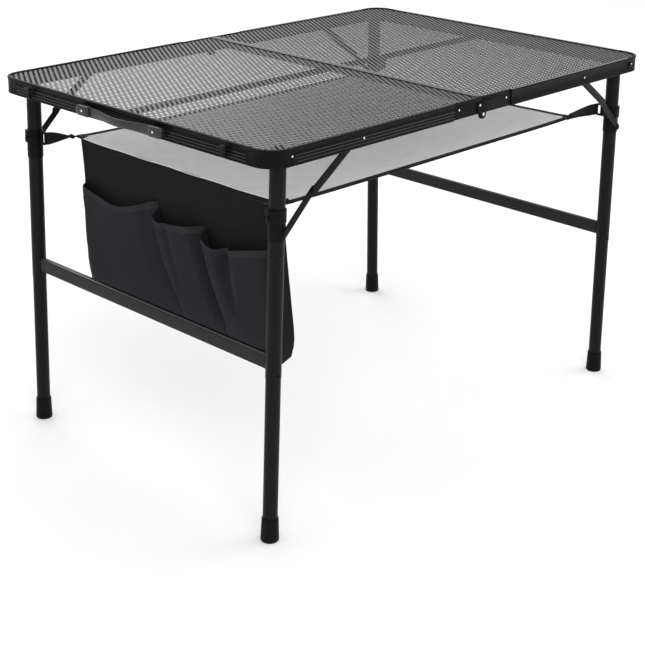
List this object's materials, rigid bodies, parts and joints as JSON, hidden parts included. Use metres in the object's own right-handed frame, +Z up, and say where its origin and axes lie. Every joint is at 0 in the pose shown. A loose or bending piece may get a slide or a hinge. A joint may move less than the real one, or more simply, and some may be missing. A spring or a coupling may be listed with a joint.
{
  "type": "folding camping side table",
  "caption": "Low folding camping table with a hinged mesh-panel top, folding tube legs, a slung fabric shelf and a hanging pocket organiser.",
  "frame": {"origin": "on the floor, under the middle of the table top", "axes": "+X along the table's length towards the half without the handle, +Y across it, +Z up"},
  "size_m": [0.8914, 0.6, 0.58],
  "materials": {
    "frame_paint": "satin powder coat",
    "mesh_paint": "satin powder coat",
    "tube_paint": "satin, light rub marks",
    "black_plastic": "fine grain",
    "black_steel": "satin black zinc",
    "handle_plastic": "smooth soft plastic",
    "shelf_fabric": "woven, light grey with a black binding",
    "organiser_fabric": "woven, black"
  },
  "bodies": {
    "half_a": {"side_rail_a_front": "frame_paint", "corner_a_front": "black_plastic", "hinge_a_front": "black_plastic", "leg_pivot_a_front": "black_plastic", "side_rail_a_back": "frame_paint", "corner_a_back": "black_plastic", "hinge_a_back": "black_plastic", "leg_pivot_a_back": "black_plastic", "end_rail_a": "frame_paint", "seam_rail_a": "frame_paint", "mesh_panel_a": "mesh_paint", "centre_bar_a": "frame_paint", "handle_bracket_front": "black_plastic", "handle_bracket_back": "black_plastic", "shelf_sheet": "shelf_fabric", "pocket_organiser": "organiser_fabric"},
    "half_b": {"side_rail_b_front": "frame_paint", "corner_b_front": "black_plastic", "hinge_b_front": "black_plastic", "leg_pivot_b_front": "black_plastic", "side_rail_b_back": "frame_paint", "corner_b_back": "black_plastic", "hinge_b_back": "black_plastic", "leg_pivot_b_back": "black_plastic", "end_rail_b": "frame_paint", "seam_rail_b": "frame_paint", "mesh_panel_b": "mesh_paint", "centre_bar_b": "frame_paint", "latch_keeper_front": "black_plastic", "latch_keeper_back": "black_plastic"},
    "leg_frame_a": {"upper_leg_a_front": "tube_paint", "upper_leg_a_back": "tube_paint", "collar_a_front": "black_plastic", "collar_a_back": "black_plastic", "crossbar_a": "tube_paint"},
    "leg_frame_b": {"upper_leg_b_front": "tube_paint", "upper_leg_b_back": "tube_paint", "collar_b_front": "black_plastic", "collar_b_back": "black_plastic", "crossbar_b": "tube_paint"},
    "lower_leg_a_front": {"lower_leg_a_front": "tube_paint", "foot_a_front": "black_plastic"},
    "lower_leg_a_back": {"lower_leg_a_back": "tube_paint", "foot_a_back": "black_plastic"},
    "lower_leg_b_front": {"lower_leg_b_front": "tube_paint", "foot_b_front": "black_plastic"},
    "lower_leg_b_back": {"lower_leg_b_back": "tube_paint", "foot_b_back": "black_plastic"},
    "brace_rail_link_a_front": {"brace_rail_link_a_front": "black_steel"},
    "brace_leg_link_a_front": {"brace_leg_link_a_front": "black_steel"},
    "brace_rail_link_a_back": {"brace_rail_link_a_back": "black_steel"},
    "brace_leg_link_a_back": {"brace_leg_link_a_back": "black_steel"},
    "brace_rail_link_b_front": {"brace_rail_link_b_front": "black_steel"},
    "brace_leg_link_b_front": {"brace_leg_link_b_front": "black_steel"},
    "brace_rail_link_b_back": {"brace_rail_link_b_back": "black_steel"},
    "brace_leg_link_b_back": {"brace_leg_link_b_back": "black_steel"},
    "latch_hook_front": {"latch_hook_front": "black_steel"},
    "latch_hook_back": {"latch_hook_back": "black_steel"},
    "handle_strap": {"handle_strap": "handle_plastic"}
  },
  "joints": [
    {"name": "table_fold", "type": "hinge", "parent": "half_a", "child": "half_b", "pos_m": [0, 0, 0.554], "axis": [0, 1, 0], "range_deg": [0, 65], "deforming": ["shelf_sheet", "pocket_organiser"]},
    {"name": "leg_a_fold", "type": "hinge", "parent": "half_a", "child": "leg_frame_a", "pos_m": [-0.393, 0, 0.5661], "axis": [0, -1, 0], "range_deg": [0, 89.5], "deforming": ["shelf_sheet", "pocket_organiser"]},
    {"name": "leg_b_fold", "type": "hinge", "parent": "half_b", "child": "leg_frame_b", "pos_m": [0.393, 0, 0.5661], "axis": [0, 1, 0], "range_deg": [0, 89.5], "deforming": ["shelf_sheet", "pocket_organiser"]},
    {"name": "lower_leg_a_front_slide", "type": "slide", "parent": "leg_frame_a", "child": "lower_leg_a_front", "axis": [0.0262, 0, 0.9997], "range_m": [-0.06, 0.19]},
    {"name": "lower_leg_a_back_slide", "type": "slide", "parent": "leg_frame_a", "child": "lower_leg_a_back", "axis": [0.0262, 0, 0.9997], "range_m": [-0.06, 0.19]},
    {"name": "lower_leg_b_front_slide", "type": "slide", "parent": "leg_frame_b", "child": "lower_leg_b_front", "axis": [-0.0262, 0, 0.9997], "range_m": [-0.06, 0.19]},
    {"name": "lower_leg_b_back_slide", "type": "slide", "parent": "leg_frame_b", "child": "lower_leg_b_back", "axis": [-0.0262, 0, 0.9997], "range_m": [-0.06, 0.19]},
    {"name": "brace_rail_a_front_turn", "type": "hinge", "parent": "half_a", "child": "brace_rail_link_a_front", "pos_m": [-0.261, 0, 0.5674], "axis": [0, 1, 0], "range_deg": [0, 32.5]},
    {"name": "brace_leg_a_front_turn", "type": "hinge", "parent": "leg_frame_a", "child": "brace_leg_link_a_front", "pos_m": [-0.39583, 0, 0.45814], "axis": [0, -1, 0], "range_deg": [0, 47]},
    {"name": "brace_rail_a_back_turn", "type": "hinge", "parent": "half_a", "child": "brace_rail_link_a_back", "pos_m": [-0.261, 0, 0.5674], "axis": [0, 1, 0], "range_deg": [0, 32.5]},
    {"name": "brace_leg_a_back_turn", "type": "hinge", "parent": "leg_frame_a", "child": "brace_leg_link_a_back", "pos_m": [-0.39583, 0, 0.45814], "axis": [0, -1, 0], "range_deg": [0, 47]},
    {"name": "brace_rail_b_front_turn", "type": "hinge", "parent": "half_b", "child": "brace_rail_link_b_front", "pos_m": [0.261, 0, 0.5674], "axis": [0, -1, 0], "range_deg": [0, 32.5]},
    {"name": "brace_leg_b_front_turn", "type": "hinge", "parent": "leg_frame_b", "child": "brace_leg_link_b_front", "pos_m": [0.39583, 0, 0.45814], "axis": [0, 1, 0], "range_deg": [0, 47]},
    {"name": "brace_rail_b_back_turn", "type": "hinge", "parent": "half_b", "child": "brace_rail_link_b_back", "pos_m": [0.261, 0, 0.5674], "axis": [0, -1, 0], "range_deg": [0, 32.5]},
    {"name": "brace_leg_b_back_turn", "type": "hinge", "parent": "leg_frame_b", "child": "brace_leg_link_b_back", "pos_m": [0.39583, 0, 0.45814], "axis": [0, 1, 0], "range_deg": [0, 47]},
    {"name": "latch_front_turn", "type": "hinge", "parent": "half_a", "child": "latch_hook_front", "pos_m": [-0.4392, -0.216, 0.561], "axis": [0, -1, 0], "range_deg": [0, 180]},
    {"name": "latch_back_turn", "type": "hinge", "parent": "half_a", "child": "latch_hook_back", "pos_m": [-0.4392, 0.216, 0.561], "axis": [0, -1, 0], "range_deg": [0, 180]},
    {"name": "handle_pull", "type": "slide", "parent": "half_a", "child": "handle_strap", "axis": [-1, 0, 0], "range_m": [0, 0.0023]}
  ],
  "couplings": [
    {"joint": "brace_rail_a_front_turn", "follows": "leg_a_fold", "ratio": 0.3625},
    {"joint": "brace_leg_a_front_turn", "follows": "leg_a_fold", "ratio": 0.5235},
    {"joint": "brace_rail_a_back_turn", "follows": "leg_a_fold", "ratio": 0.3625},
    {"joint": "brace_leg_a_back_turn", "follows": "leg_a_fold", "ratio": 0.5235},
    {"joint": "brace_rail_b_front_turn", "follows": "leg_b_fold", "ratio": 0.3625},
    {"joint": "brace_leg_b_front_turn", "follows": "leg_b_fold", "ratio": 0.5235},
    {"joint": "brace_rail_b_back_turn", "follows": "leg_b_fold", "ratio": 0.3625},
    {"joint": "brace_leg_b_back_turn", "follows": "leg_b_fold", "ratio": 0.5235}
  ]
}
